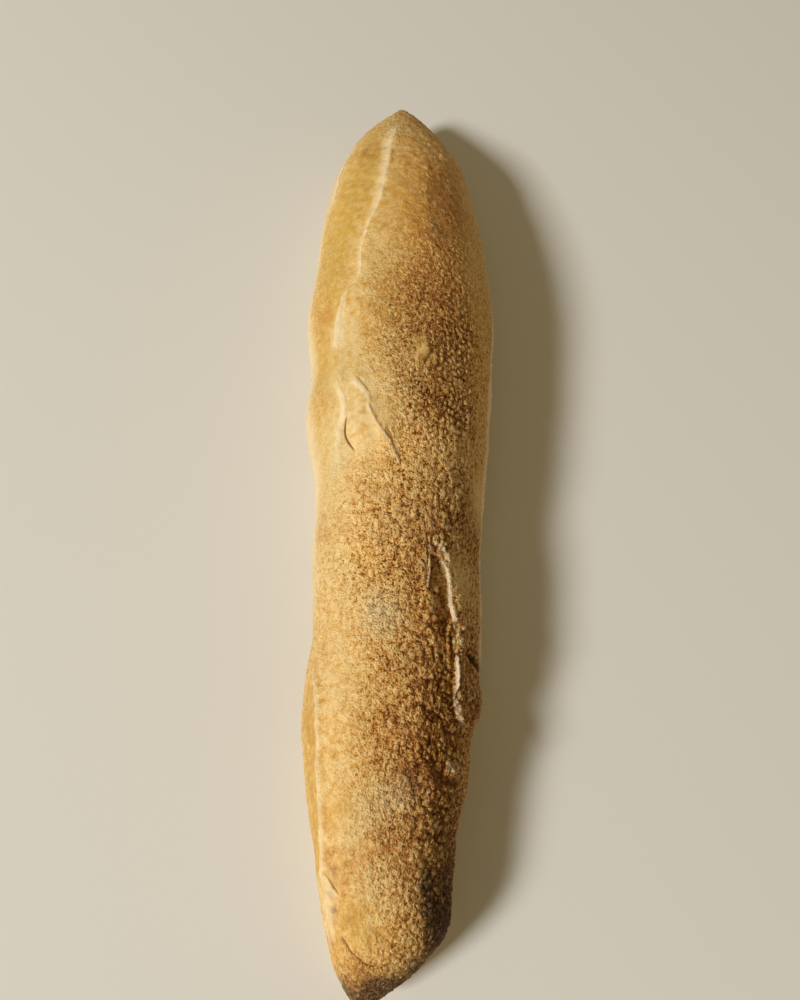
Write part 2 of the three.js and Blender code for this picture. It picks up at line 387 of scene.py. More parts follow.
# Torn crumbs of the broken lips and pale lumps of the brown band: [x, y, half width, half length, rise]
CRUMBS = [
    [18.4, -70.2, 0.5, 0.6, 0.4],
    [16.9, -73.9, 0.45, 0.6, 0.5],
    [18.8, -73.9, 0.5, 0.7, 0.6],
    [19.6, -72.8, 0.45, 0.6, 0.4],
    [18.2, -71.9, 0.45, 0.5, 0.5],
    [18.2, -76, 0.4, 0.6, 0.4],
    [11.3, -46.5, 0.4, 0.5, 0.3],
    [9.6, -44.5, 0.6, 0.6, 0.4],
    [-15, 84.7, 0.7, 0.7, 0.25],
    [10.9, -62.4, 0.9, 1, 0.5],
    [10.6, -65.2, 0.6, 0.8, 0.35],
    [14.1, -55.5, 0.35, 0.4, 0.3],
    [21.7, -89.9, 0.5, 0.8, 0.4],
    [21.8, -86.3, 0.5, 0.6, 0.3],
    [23.2, -84.6, 0.4, 0.5, 0.3],
    [24.4, -88, 0.4, 0.6, 0.3],
    [22.9, -92.4, 0.5, 0.5, 0.35],
    [24.2, -93.8, 0.4, 0.4, 0.3],
    [23.2, -96.2, 0.4, 0.5, 0.3],
    [25.2, -91, 0.35, 0.5, 0.3],
    [15.4, -110.6, 1.2, 1, 0.45],
    [14.4, -111.8, 0.5, 0.7, 0.3],
    [16.2, -112, 0.5, 0.6, 0.3],
    [17, -89.2, 0.55, 0.7, 0.4],
    [17.9, -90.3, 0.5, 0.6, 0.4],
    [16.7, -91, 0.5, 0.7, 0.4],
    [17.5, -92.2, 0.6, 0.7, 0.45],
    [16.8, -93.4, 0.5, 0.6, 0.4],
    [17.9, -94.2, 0.5, 0.7, 0.4],
    [17.2, -95.3, 0.5, 0.5, 0.35],
    [18.2, -96.2, 0.5, 0.7, 0.45],
    [18.9, -97.5, 0.45, 0.7, 0.4],
    [18, -98.4, 0.4, 0.5, 0.35],
    [17.3, 130.3, 0.9, 1.6, 0.25],
    [10, 117.9, 1, 1.4, 0.2],
    [13.5, 96.4, 0.8, 1.2, 0.22],
    [15.5, 99, 0.8, 1.6, 0.22],
    [16.9, 93.2, 0.8, 1.4, 0.2],
    [14.4, 86.4, 0.9, 1.4, 0.22],
    [12.4, 83, 0.7, 1.6, 0.22],
    [13.8, 79.1, 0.8, 1.3, 0.22],
    [11.5, 73.8, 0.8, 1.3, 0.2],
    [14.7, 67.6, 0.8, 1.2, 0.2],
    [18.8, 78, 0.8, 1.3, 0.2],
    [19.4, 107.7, 0.9, 1.5, 0.2],
]

# Soft spots of the finishes: [x, y, half width, half length, amount]
BROWNED = [
    [4, 122, 12, 40, 0.12],
    [17, 108, 9, 40, 0.32],
    [20, 96, 5, 20, 0.12],
    [6, 82, 8, 14, 0.1],
    [12, 70, 9, 12, 0.14],
    [-6, 44, 8, 14, 0.12],
    [10, 37, 14, 22, 0.3],
    [6, 52, 14, 13, 0.1],
    [22, 50, 6, 24, 0.08],
    [14, 8, 8, 10, 0.22],
    [12, -15, 14, 9, -0.14],
    [1, -32, 11, 20, -0.1],
    [-19, -150, 5, 14, 0.16],
    [-11, 3, 9, 13, -0.03],
    [6, -44, 8, 7, 0.1],
    [17, -37, 7, 10, 0.14],
    [9.5, -64, 7, 18, 0.07],
    [11.5, -92, 6.5, 13, 0.28],
    [23, -90, 7, 12, 0.12],
    [24, -93, 5, 7, 0.2],
    [9, -116, 9, 14, 0.3],
    [-4, -120, 6, 5, -0.06],
    [28, -22, 4, 12, -0.2],
    [-6, -134, 10, 10, 0.1],
    [-5, -101, 10, 8, 0.08],
    [5, -112, 7, 7, 0.08],
    [1, -154, 9, 7, 0.08],
    [-7, -166, 8, 5, 0.12],
    [-16, -140, 7, 14, 0.08],
    [3, -108, 6, 8, 0.08],
    [14.5, -145, 6, 16, 0.36],
    [14, -154, 4, 8, 0.2],
    [20, -122, 6, 36, 0.2],
    [2, -142, 7, 12, 0.1],
    [-4, -170, 16, 12, 0.24],
    [-14, -142, 9, 18, 0.08],
    [-22, -116, 8, 36, 0.1],
    [-25.2, 10, 3.2, 5, 0.3],
    [-24, -34, 3, 6, 0.2],
    [-28, 48, 4, 8, 0.2],
    [-20, 98, 9, 34, 0.12],
    [12, 160, 8, 10, 0.14],
    [8.2, 25, 3, 5, -0.1],
    [18, -52, 4, 8, -0.28],
    [18, -10, 7, 8, -0.28],
    [27, 2, 5, 34, -0.22],
    [26, -60, 4, 12, -0.14],
    [17, -65, 3, 5, 0.14],
    [16, -72, 4, 9, 0.12],
    [-10, 36, 6, 8, 0.08],
    [25, -76, 4, 8, 0.12],
    [27, 68, 4, 12, -0.2],
    [-2, -165, 4, 3, -0.2],
    [-10, -166, 4, 4, 0.2],
    [-9, -156, 10, 9, 0.14],
    [-16, -146, 5, 8, 0.1],
    [5, -134, 4, 6, -0.16],
    [-9, -148, 6, 12, -0.06],
    [28, 48, 4, 10, -0.12],
    [17, 33, 8, 12, 0.2],
    [11, 53, 6, 7, 0.1],
    [9, 1, 8, 10, 0.08],
    [11, 2, 5, 6, 0.1],
    [4, -65, 4, 5, 0.1],
    [-3, -133, 4, 5, 0.08],
    [11, -154, 4, 6, 0.3],
    [27, -40, 4, 8, 0.2],
]
GOLDEN = [
    [-16, 118, 11, 34, 0.9],
    [-10, 128, 4, 16, 0.6],
    [-24, 78, 8, 26, 0.9],
    [4, 96, 9, 22, 0.5],
    [-6, 44, 8, 14, 0.3],
    [-27, 34, 6, 30, 0.7],
    [-22, 22, 8, 10, 0.5],
    [-26, -10, 6, 24, 0.4],
    [-16, -124, 6, 6, 0.4],
    [-12, -154, 6, 8, 0.6],
    [8.2, 25, 3, 5, 0.7],
]
FLOURED = [
    [-4.6, -67.2, 6, 7, 0.8],
    [-20.2, 36, 4, 7, 0.5],
    [-19, 22, 4, 7, 0.35],
    [-1, -119, 6, 5, 0.5],
    [-14.5, -131, 3.4, 3.4, 0.5],
    [-21, -14, 3, 5, 0.9],
    [-21, -147, 3, 9, 0.8],
    [-24, -30, 4, 16, 0.35],
    [-11, 2.6, 1.6, 2.4, 0.8],
    [-16.5, 2, 3.4, 6, 0.5],
    [-24, 17, 3.4, 6, 0.5],
    [-23, 0, 6, 12, 0.4],
    [-8, -143, 6, 6, 0.3],
    [-9, -66, 4, 8, 0.5],
    [-9, -124, 6, 6, 0.35],
]
CHARRED = [
    [8.4, -139, 2.6, 4, 0.4],
    [7.6, -145, 2.6, 6, 1],
    [8.8, -152, 2.2, 5, 0.9],
    [14, -144, 3.4, 16, 0.9],
    [5, -164.4, 3.4, 2.8, 1],
    [1, -168.8, 4, 3, 1],
    [11.5, -154, 3, 5, 1],
    [8.5, -160, 2.4, 3.4, 0.8],
    [-5.3, -171.2, 4, 4.2, 1.2],
    [-11, -172, 4.5, 3.2, 1.2],
    [-16.5, -170, 2.4, 4, 0.9],
    [-7.5, -167, 5, 2.8, 0.45],
    [-0.4, 171, 2.6, 2.4, 0.5],
]
SMOOTH = [
    [-19, 104, 12, 50, 0.8],
    [8, 124, 22, 44, 0.6],
    [-4, 84, 8, 22, 0.4],
    [-20, 34, 12, 26, 0.6],
    [-12, 1, 9, 15, 0.85],
    [-8, -7, 5, 6, 0.3],
    [-24, -10, 8, 30, 0.35],
    [-22, -110, 9, 55, 0.6],
    [-14, -138, 8, 14, 0.3],
    [-20, -150, 4, 10, 0.5],
    [-8, -156, 9, 10, 0.35],
    [7.8, 24, 2.6, 4.6, 0.9],
    [28, -24, 4, 9, 0.6],
    [20, -54, 4, 9, 0.5],
    [-16, -84, 7, 12, 0.2],
]
ROUGH = [
    [14, -20, 18, 50, 0.45],
    [6, -95, 18, 48, 0.4],
    [25, 0, 5, 60, 0.2],
    [25, -72, 4, 16, 0.2],
]
RUDDY = [
    [11, 84, 5, 18, 0.5],
    [5, 92, 9, 22, 0.2],
    [8, 50, 14, 14, 0.35],
    [12, 24, 14, 26, 0.25],
    [-20, 100, 14, 50, -0.18],
    [18, 104, 6, 18, 0.45],
    [5, -38, 12, 15, 0.55],
    [8, -51, 4, 5, 0.4],
    [4, -138, 4, 8, 0.5],
    [-13, 130, 4, 8, 0.9],
    [-18, -135, 8, 24, -0.15],
    [-4, -134, 9, 9, 0.3],
    [-3, -101, 9, 8, 0.3],
    [-28, 48, 3, 8, 0.6],
    [8, -80, 5, 8, 0.4],
    [6, -106, 5, 8, 0.4],
    [25, -34, 4, 8, 0.5],
    [-27, -34, 2.5, 6, 0.5],
    [-14, -169, 5, 4, 0.5],
    [-27.5, -100, 3, 22, 0.45],
    [-24, -128, 3, 12, 0.3],
]
# Where the crust is brighter and redder: its own tint, and along the shaded right flank painted light
TINT_AND_PAINTED_LIGHT_SPOTS = [
    [0, -34, 15, 24, 0.9],
    [12, -10, 12, 12, 0.7],
    [4, -64, 10, 14, 0.6],
    [10, -66, 3.4, 8, 0.6],
    [-3, -14, 5, 6, 0.9],
    [-3, -53, 5, 5, 0.4],
    [2, 96, 12, 36, 0.8],
    # Painted light along the shaded right flank
    [28, 24, 5, 52, 1],
    [-9, -63, 4, 6, 0.4],
    [-9, -42, 7, 10, 0.8],
    [-2, -96, 14, 30, 0.5],
    [-8, -70, 7, 12, 0.5],
]
# Where the crust is cracked into crags, and where its pebbles are coarse
CRAGGY = [
    [10, -90, 9, 20, 0.65],
    [11, -118, 9, 20, 0.85],
    [13, -145, 6, 16, 0.7],
    [22, -92, 6, 9, 0.6],
    [13, -62, 4, 18, 0.4],
    [18, -30, 8, 16, 0.35],
    [16, 10, 9, 20, 0.3],
]
COARSE = [
    [-2, -40, 26, 36, 0.9],
    [-4, -96, 22, 26, 0.5],
    [10, 124, 22, 44, 1],
]
# Where thin dark lines part the crust into islands
LINED = [
    [8, 26, 22, 36, 0.6],
    [0, -42, 26, 26, 0.9],
]

# sRGB colours of the crust from hardly browned to dark, by how far it is baked
BAKED_COLOURS = [(0, "E6C98C"), (0.2, "DDB873"), (0.4, "D2A254"), (0.55, "C08D48"), (0.7, "AC7336"),
                 (0.85, "885522"), (1, "5C350E")]
TINT_AND_PAINTED_LIGHT_FACTORS = (1.22, 1.1, 0.94, 1)  # how much more red, green and blue these spots give back, tint and painted light alike
# Finishes over the browned crust, from the lowest up: sRGB colour, the noise that breaks it up,
# and how much of it shows at that noise's lows and at its highs
FINISHES = {
    "gold": ("C8A046", "blister", 0.9, 0.65),
    "ruddy": ("B27038", "tone", 0, 0.8),
    "flour": ("DACA9C", "grain", 0.3, 0.8),
    "pale": ("E8D3A8", "grain", 0.95, 0.95),
    # blond: the pale right flank, brighter and warmer as painted light in its shade
    "blond_and_painted_light": ("FBD6A8", "tone", 1, 0.7),
    # crumb: white torn crumb, and painted light on the shaded right edge and on lit lip faces
    "crumb_and_painted_light": ("F8E4BC", "grain", 0.95, 0.95),
    # dark: the browner crust of cracks, and painted shade in grooves, channels, holes, crag gaps and at the
    # shaded foot of raised lips
    "dark": ("6E3D08", "grain", 1, 0.95),
    # char: burnt crust, and painted shade in the pocket
    "char_and_painted_shade": ("3A2413", "grain", 1, 0.6),
}
FINISH_BREAKS = (0.36, 0.63)  # the noise's lows and highs there
# Noises in the crust: cell size in millimetres, detail and roughness. Their bumps are about two cells apart.
NOISES = {
    "fine": (0.6, 2, 0.6),
    "lumpy": (1.4, 2, 0.6),
    "blister": (2.6, 2, 0.5),
    "tone": (3, 2, 0.6),
    "mottle": (7, 4, 0.6),
}
GRAIN_MIX = 0.45  # share of the lumpy noise in the grain, whose other part is the fine noise
# What a noise does to the bake: its low, its high, the change at the low and the change at the high
SPECKLE = (0.36, 0.62, 0.55, -0.28)
SPECKLE_PATCHES = (0.3, 0.7, 1.3, 0.7)  # scales the speckle
BLISTER_TONE = (0.3, 0.7, 0.34, -0.34)
BLOTCHES = (0.25, 0.75, -0.2, 0.2)
ISLAND_LINE = (0.01, 0.1, 0.55, 0)
ISLAND_TONE = (0.2, 0.8, -0.08, 0.08)
LINE_BREAKS = (0.4, 0.58, 1.2, 0.2)  # scales the lines between the islands
CREVICE_BAKE = 0.45
ISLAND_SIZE = 2  # islands of golden crust between thin dark lines
ISLAND_BEND = 3  # how far the noise pushes the islands out of round
LINE_HEIGHT = -0.4  # the lines between the islands lie lower than the grain
GRAIN_DEPTH = 1.3
CRUST_ROUGHNESS = (0.55, 0.72)  # of the smooth and of the grainy crust


def select_only(piece):
    bpy.ops.object.select_all(action="DESELECT")
    piece.select_set(True)
    bpy.context.view_layer.objects.active = piece


def apply_modifier(piece, kind, **settings):
    modifier = piece.modifiers.new(kind.lower(), kind)
    for name, value in settings.items():
        setattr(modifier, name, value)
    bpy.ops.object.modifier_apply(modifier=modifier.name)


def smooth_step(value, low, high):
    share = np.clip((value - low) / (high - low), 0, 1)
    return share * share * (3 - 2 * share)


def run_through(pairs, places):
    """A value that eases from each (place, value) pair to the next."""
    stops, values = (np.array(column, float) for column in zip(*pairs))
    before = np.clip(np.searchsorted(stops, places) - 1, 0, len(stops) - 2)
    share = smooth_step(places, stops[before], stops[before + 1])
    return values[before] + (values[before + 1] - values[before]) * share


def noise_at(points, size, shift):
    """Smooth noise from about -1 to 1 whose bumps have the given size, a number or one for each axis."""
    places = points / np.array(size, float) + shift
    return np.fromiter((noise.noise(place) for place in places.tolist()), float, len(places))


def waves(points, layers):
    return sum(height * noise_at(points, size, shift) for height, size, shift in layers)


def soft_spots(points, spots):
    """The sum of soft spots, each strongest at its own place."""
    total = np.zeros(len(points))
    for x, y, half_width, half_length, amount in spots:
        away = ((points[:, 0] - x) / half_width) ** 2 + ((points[:, 1] - y) / half_length) ** 2
        total += amount * np.exp(-away)
    return total


def spot_share(points, spots):
    return np.clip(soft_spots(points, spots), 0, 1)


def read_points(mesh):
    """The mesh's points and their normals, the points in millimetres."""
    points = np.empty(len(mesh.vertices) * 3)
    normals = np.empty(len(mesh.vertices) * 3)
    mesh.vertices.foreach_get("co", points)
    mesh.vertices.foreach_get("normal", normals)
    return points.reshape(-1, 3) / MM, normals.reshape(-1, 3)


def write_points(mesh, points):
    mesh.vertices.foreach_set("co", (points * MM).ravel())
    mesh.update()


def smooth_line(plan):
    """Evenly spaced places along a smooth line through the places of a plan."""
    knots = np.array(plan, float)
    reach = np.concatenate([[0], np.cumsum(np.linalg.norm(np.diff(knots, axis=0), axis=1))])
    places = np.arange(0, reach[-1], LINE_STEP)
    before = np.clip(np.searchsorted(reach, places) - 1, 0, len(reach) - 2)
    span = (reach[before + 1] - reach[before])[:, None]
    share = (places - reach[before])[:, None] / span
    slopes = np.gradient(knots, reach, axis=0)
    from_knot = (1 + 2 * share) * (1 - share) ** 2 * knots[before]
    leaving = share * (1 - share) ** 2 * span * slopes[before]
    to_knot = share ** 2 * (3 - 2 * share) * knots[before + 1]
    arriving = share ** 2 * (share - 1) * span * slopes[before + 1]
    return from_knot + leaving + to_knot + arriving


def line_over_crust(plan, crust):
    """Points on the crust below a smooth line, with the way on and the way up at each."""
    points = []
    ups = []
    for x, y in smooth_line(plan):
        hit, up, _, _ = crust.ray_cast(Vector((x, y, ABOVE_LOAF)) * MM, Vector((0, 0, -1)))
        points.append(hit / MM)
        ups.append(up)
    points = np.array(points)
    ways = np.gradient(points, axis=0)
    return points, ways / np.linalg.norm(ways, axis=1)[:, None], np.array(ups)


def uneven(places, draws):
    """A random run along a line, about from -1 to 1, with coarse and fine changes."""
    total = np.zeros(len(places))
    for spacing, amount in RAGGED:
        stops = np.arange(0, places.max() + 2 * spacing, spacing)
        total += run_through(list(zip(stops, draws.uniform(-amount, amount, len(stops)))), places)
    return total


def beside_line(points, line, ways, ups, reach):
    """Finds the points within reach of a line. Gives them, the place on the line that each is nearest to,
    how far to the right of it each lies, and the way to the right all along the line."""
    near = np.flatnonzero(np.all((points > line.min(0) - reach) & (points < line.max(0) + reach), axis=1))
    close = points[near]
    apart = (close ** 2).sum(1)[:, None] - 2 * close @ line.T + (line ** 2).sum(1)[None, :]
    nearest = apart.argmin(1)
    off = close - line[nearest]
    within = (off ** 2).sum(1) < reach ** 2
    rights = np.cross(ways, ups)
    return near[within], nearest[within], (off * rights[nearest]).sum(1)[within], rights


def make_tears(points, normals, crust):
    """Raises and opens the crust along its tears. Gives the moved points, finishes and torn points."""
    finishes = {name: np.zeros(len(points)) for name in TORN_FINISHES}
    moves = np.zeros_like(points)
    torn = np.zeros(len(points), bool)
    draws = np.random.default_rng(SEED)
    for tear in TEARS.values():
        line, ways, ups = line_over_crust(tear["line"], crust)
        widths = tear.get("width", EVEN_WIDTH)
        profiles = [tear[name] for name in ("rise", *finishes) if name in tear]
        widest = max(width for _, width in widths)
        reach = max(abs(offset) for profile in profiles for offset, _ in profile) * widest + REACH_MARGIN
        near, nearest, offset, rights = beside_line(points, line, ways, ups, reach)
        along = nearest * LINE_STEP
        share = nearest / (len(line) - 1)
        taper = smooth_step(np.minimum(share, 1 - share), 0, tear.get("taper", LINE_TAPER))
        strength = taper * (1 + tear.get("ragged", 0) * uneven(along, draws))
        offset = offset + tear.get("wander", 0) * uneven(along, draws)
        offset = offset / run_through(widths, share)
        rise = strength * run_through(tear["rise"], offset)
        torn[near[np.abs(offset) < TORN_WIDTH]] = True
        moves[near] += normals[near] * rise[:, None]
        moves[near] += rights[nearest] * (tear.get("lean", 0) * np.maximum(rise, 0))[:, None]
        for name, finish in finishes.items():
            if name in tear:
                covered = np.clip(strength, 0, 1) * run_through(tear[name], offset)
                finish[near] = np.maximum(finish[near], covered)
    return points + moves, finishes, np.flatnonzero(torn)


def dense_crust():
    """A copy of the frame's loaf, merged to one skin and subdivided until its tears can be modelled."""
    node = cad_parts["loaf"]
    loaf = bpy.data.objects.new("baguette", node.data.copy())
    bpy.context.scene.collection.objects.link(loaf)
    select_only(loaf)
    bpy.ops.object.mode_set(mode="EDIT")
    bpy.ops.mesh.select_all(action="SELECT")
    bpy.ops.mesh.remove_doubles(threshold=MERGE_DISTANCE * MM)
    bpy.ops.mesh.tris_convert_to_quads()
    bpy.ops.object.mode_set(mode="OBJECT")
    apply_modifier(loaf, "SUBSURF", levels=SUBDIVISIONS, render_levels=SUBDIVISIONS)
    bpy.ops.object.shade_smooth()
    return loaf


def pebbles_at(points, size, crevice):
    """Rounded pebbles of a size, a number or one for each axis: 0 in the crevices between them, 1 on top."""
    gaps = np.empty(len(points))
    for i, place in enumerate((points / np.array(size)).tolist()):
        bent = Vector(place) + PEBBLE_BEND * noise.noise_vector(place)
        nearest, second = noise.voronoi(bent)[0][:2]
        gaps[i] = second - nearest
    return smooth_step(gaps, 0, crevice)


def crust_pebbles(points):
    """Pebbles all over the crust, coarser in some places."""
    coarse = spot_share(points, COARSE)
    return ((1 - coarse) * pebbles_at(points, PEBBLE_SIZE, PEBBLE_CREVICE)
            + coarse * pebbles_at(points, COARSE_PEBBLE_SIZE, PEBBLE_CREVICE))


def crust_crags(points, top):
    """How far the crust gapes between the lumps of its cracked places."""
    open_gaps = smooth_step(waves(points, GAP_BREAKS), *GAP_OPENING)
    return spot_share(points, CRAGGY) * top * open_gaps * (1 - pebbles_at(points, LUMP_SIZE, LUMP_GAP))


def crust_relief(points, grain, pebbles, crags):
    """How far the crust stands out: swells, blisters where it is smooth, pebbles and crags elsewhere."""
    stones = waves(points, FINE_GRAIN) + PEBBLE_RISE * (pebbles - PEBBLE_FOOT)
    smooth = np.maximum(1 - grain, 0)
    return waves(points, SWELLS) + grain * stones + smooth * waves(points, BLISTERS) - CRAG_DEPTH * crags


def flank_share(points, facing_up):
    """How far the crust belongs to the hardly browned flanks, which end in a crisp edge on the right."""
    at_right = points[:, 0] > 0
    wavy_facing = facing_up + waves(points, FLANK_EDGE_WAVE)
    right = 1 - smooth_step(wavy_facing, *RIGHT_FLANK_FACING)
    left = 1 - smooth_step(wavy_facing, *LEFT_FLANK_FACING)
    wavy_place = points[:, 1] + waves(points, FLANK_END_WAVE)
    near_place = wavy_place + np.where(at_right, RIGHT_FLANK_FURTHER, 0)
    along = smooth_step(near_place, *FLANK_NEAR_END) * (1 - smooth_step(wavy_place, *FLANK_FAR_END))
    return np.where(at_right, right, left) * along


def add_browning(finishes, points, grain, pebbles, top):
    """How far the crust is baked, where grain and lines show, its golden, floury and burnt spots, and its
    brighter tints with painted light on the shaded right flank.
    """
    finishes["grain"] = grain
    finishes["crevice"] = grain * (1 - pebbles)
    finishes["lined"] = spot_share(points, LINED) * grain
    finishes["bake"] = (EVEN_BAKE - GRAIN_LIGHTENS * grain + top * soft_spots(points, BROWNED)
                        - LINES_LIGHTEN * finishes["lined"])
    finishes["ruddy"] = top * np.clip(RUDDY_ALL_OVER + soft_spots(points, RUDDY), 0, 1)
    for name, spots in (("gold", GOLDEN), ("tint_and_painted_light", TINT_AND_PAINTED_LIGHT_SPOTS), ("flour", FLOURED), ("char_and_painted_shade", CHARRED)):
        finishes[name] = np.maximum(finishes.get(name, 0), top * spot_share(points, spots))


def add_pale_and_dark(finishes, points, facing_up, flank, crags, top):
    """Pale flanks, whose right rim and edge get brighter, warmer colours as painted light, torn crumbs, and
    painted shade in the holes and crag gaps.
    """
    crumbs = np.clip(CRUMB_COVER * soft_spots(points, CRUMBS), 0, CRUMB_PALEST) * top
    hole_painted_shade = np.clip(-soft_spots(points, HOLES), 0, HOLE_PAINTED_SHADE_DARKEST) * top
    rim = smooth_step(facing_up, *RIM_FACING)
    cream = flank * (FLANK_CREAM + RIM_CREAM * rim + waves(points, CREAM_WAVE) * (1 - rim))
    # The right rim and edge: pale crust with painted light for the shaded side
    right_rim_with_painted_light = flank * rim * (points[:, 0] > 0)
    right_edge_painted_light = RIGHT_EDGE_CRUMB_AND_PAINTED_LIGHT * right_rim_with_painted_light * (1 - smooth_step(facing_up, *RIGHT_EDGE_FACING))
    finishes["pale"] = np.maximum.reduce([finishes["pale"], crumbs, cream])
    finishes["blond_and_painted_light"] = RIGHT_RIM_BLOND_AND_PAINTED_LIGHT * right_rim_with_painted_light
    finishes["crumb_and_painted_light"] = np.maximum(finishes["crumb_and_painted_light"], right_edge_painted_light)
    # Painted shade in the holes and in the gaps between the crags
    finishes["dark"] = np.maximum.reduce([finishes["dark"], hole_painted_shade, CRAG_GAP_PAINTED_SHADE * crags])


def thin_mesh(loaf, torn_points):
    """Thins the crust's mesh to its limit and spares the tears."""
    kept = loaf.vertex_groups.new(name="torn")
    kept.add(torn_points.tolist(), 1, "REPLACE")
    triangles = sum(len(face.vertices) - 2 for face in loaf.data.polygons)
    apply_modifier(loaf, "DECIMATE", ratio=TRIANGLE_LIMIT / triangles, use_collapse_triangulate=True,
                   vertex_group=kept.name, invert_vertex_group=True, vertex_group_factor=TORN_KEPT)
    bpy.ops.object.shade_smooth()


def model_loaf():
    """The loaf with its crust raised, torn and pebbled. Its points carry the share of each finish."""
    noise.seed_set(SEED)
    loaf = dense_crust()
    mesh = loaf.data
    points, normals = read_points(mesh)
    crust = BVHTree.FromObject(loaf, bpy.context.evaluated_depsgraph_get())
    facing_up = normals[:, 2]
    off_base = smooth_step(points[:, 2], 0, BASE_MARGIN)
    top = smooth_step(facing_up, *TOP_FACING)
    flank = flank_share(points, facing_up) * off_base
    roughness = np.clip(1 + soft_spots(points, ROUGH) - soft_spots(points, SMOOTH), 0, ROUGHEST)
    grain = roughness * (SIDE_GRAIN + TOP_GRAIN * top) * (1 - FLANK_SMOOTHING * flank) * off_base
    pebbles = crust_pebbles(points)
    crags = crust_crags(points, top)
    torn, finishes, torn_points = make_tears(points, normals, crust)
    rise = crust_relief(points, grain, pebbles, crags) + soft_spots(points, BUMPS + HOLES + CRUMBS) * top
    write_points(mesh, torn + normals * (rise * off_base)[:, None])
    add_browning(finishes, points, grain, pebbles, top)
    add_pale_and_dark(finishes, points, facing_up, flank, crags, top)
    for name, share in finishes.items():
        mesh.attributes.new(name, "FLOAT", "POINT").data.foreach_set("value", share.astype(np.float32))
    thin_mesh(loaf, torn_points)
    return loaf


def colour(code):
    """Linear red, green, blue and alpha from an sRGB hex value."""
    parts = [int(code[i:i + 2], 16) / 255 for i in (0, 2, 4)]
    return (*[part / 12.92 if part <= 0.04045 else ((part + 0.055) / 1.055) ** 2.4 for part in parts], 1)


def add_node(tree, kind, inputs=(), output=0, **settings):
    """Adds a node and gives one of its outputs. Inputs, by name or in order, are values or outputs."""
    node = tree.nodes.new(kind)
    for name, value in settings.items():
        setattr(node, name, value)
    for place, value in inputs.items() if isinstance(inputs, dict) else enumerate(inputs):
        if isinstance(value, bpy.types.NodeSocket):
            tree.links.new(value, node.inputs[place])
        else:
            node.inputs[place].default_value = value
    return node.outputs[output] if node.outputs else None


def empty_material(name):
    material = bpy.data.materials.new(name)
    material.use_nodes = True
    material.node_tree.nodes.clear()
    return material, material.node_tree


def crust_islands(tree, place, lumpy, lined):
    """Golden islands of slightly different browns between thin broken dark lines, as bake to add."""
    push = lumpy.node.outputs["Color"]
    bent = add_node(tree, "ShaderNodeVectorMath", (push, [ISLAND_BEND * MM] * 3, place),
                    operation="MULTIPLY_ADD")
    on_island = {"Vector": bent, "Scale": 1 / (ISLAND_SIZE * MM)}
    from_edge = add_node(tree, "ShaderNodeTexVoronoi", on_island, "Distance", feature="DISTANCE_TO_EDGE")
    island = add_node(tree, "ShaderNodeTexVoronoi", on_island, "Color")
    line = add_node(tree, "ShaderNodeMapRange", (from_edge, *ISLAND_LINE))
    broken = add_node(tree, "ShaderNodeMapRange", (lumpy, *LINE_BREAKS))
    line = add_node(tree, "ShaderNodeMath", (line, broken), operation="MULTIPLY")
    tone = add_node(tree, "ShaderNodeMapRange", (island, *ISLAND_TONE))
    islands = add_node(tree, "ShaderNodeMath", (line, tone), operation="ADD")
    return add_node(tree, "ShaderNodeMath", (islands, lined), operation="MULTIPLY")


def crust_bake(tree, noises, finish, islands):
    """How far each place is baked: blotches all over, blisters where it is smooth, specks elsewhere."""
    speckle = add_node(tree, "ShaderNodeMapRange", (noises["grain"], *SPECKLE))
    speckle = add_node(tree, "ShaderNodeMath", (finish["crevice"], CREVICE_BAKE, speckle),
                       operation="MULTIPLY_ADD")
    patches = add_node(tree, "ShaderNodeMapRange", (noises["mottle"], *SPECKLE_PATCHES))
    speckle = add_node(tree, "ShaderNodeMath", (speckle, patches), operation="MULTIPLY")
    smooth = add_node(tree, "ShaderNodeMath", (1, finish["grain"]), operation="SUBTRACT", use_clamp=True)
    blisters = add_node(tree, "ShaderNodeMapRange", (noises["blister"], *BLISTER_TONE))
    blotches = add_node(tree, "ShaderNodeMapRange", (noises["mottle"], *BLOTCHES))
    bake = add_node(tree, "ShaderNodeMath", (finish["bake"], blotches), operation="ADD")
    bake = add_node(tree, "ShaderNodeMath", (blisters, smooth, bake), operation="MULTIPLY_ADD")
    bake = add_node(tree, "ShaderNodeMath", (speckle, finish["grain"], bake), operation="MULTIPLY_ADD")
    return add_node(tree, "ShaderNodeMath", (bake, islands), operation="ADD")


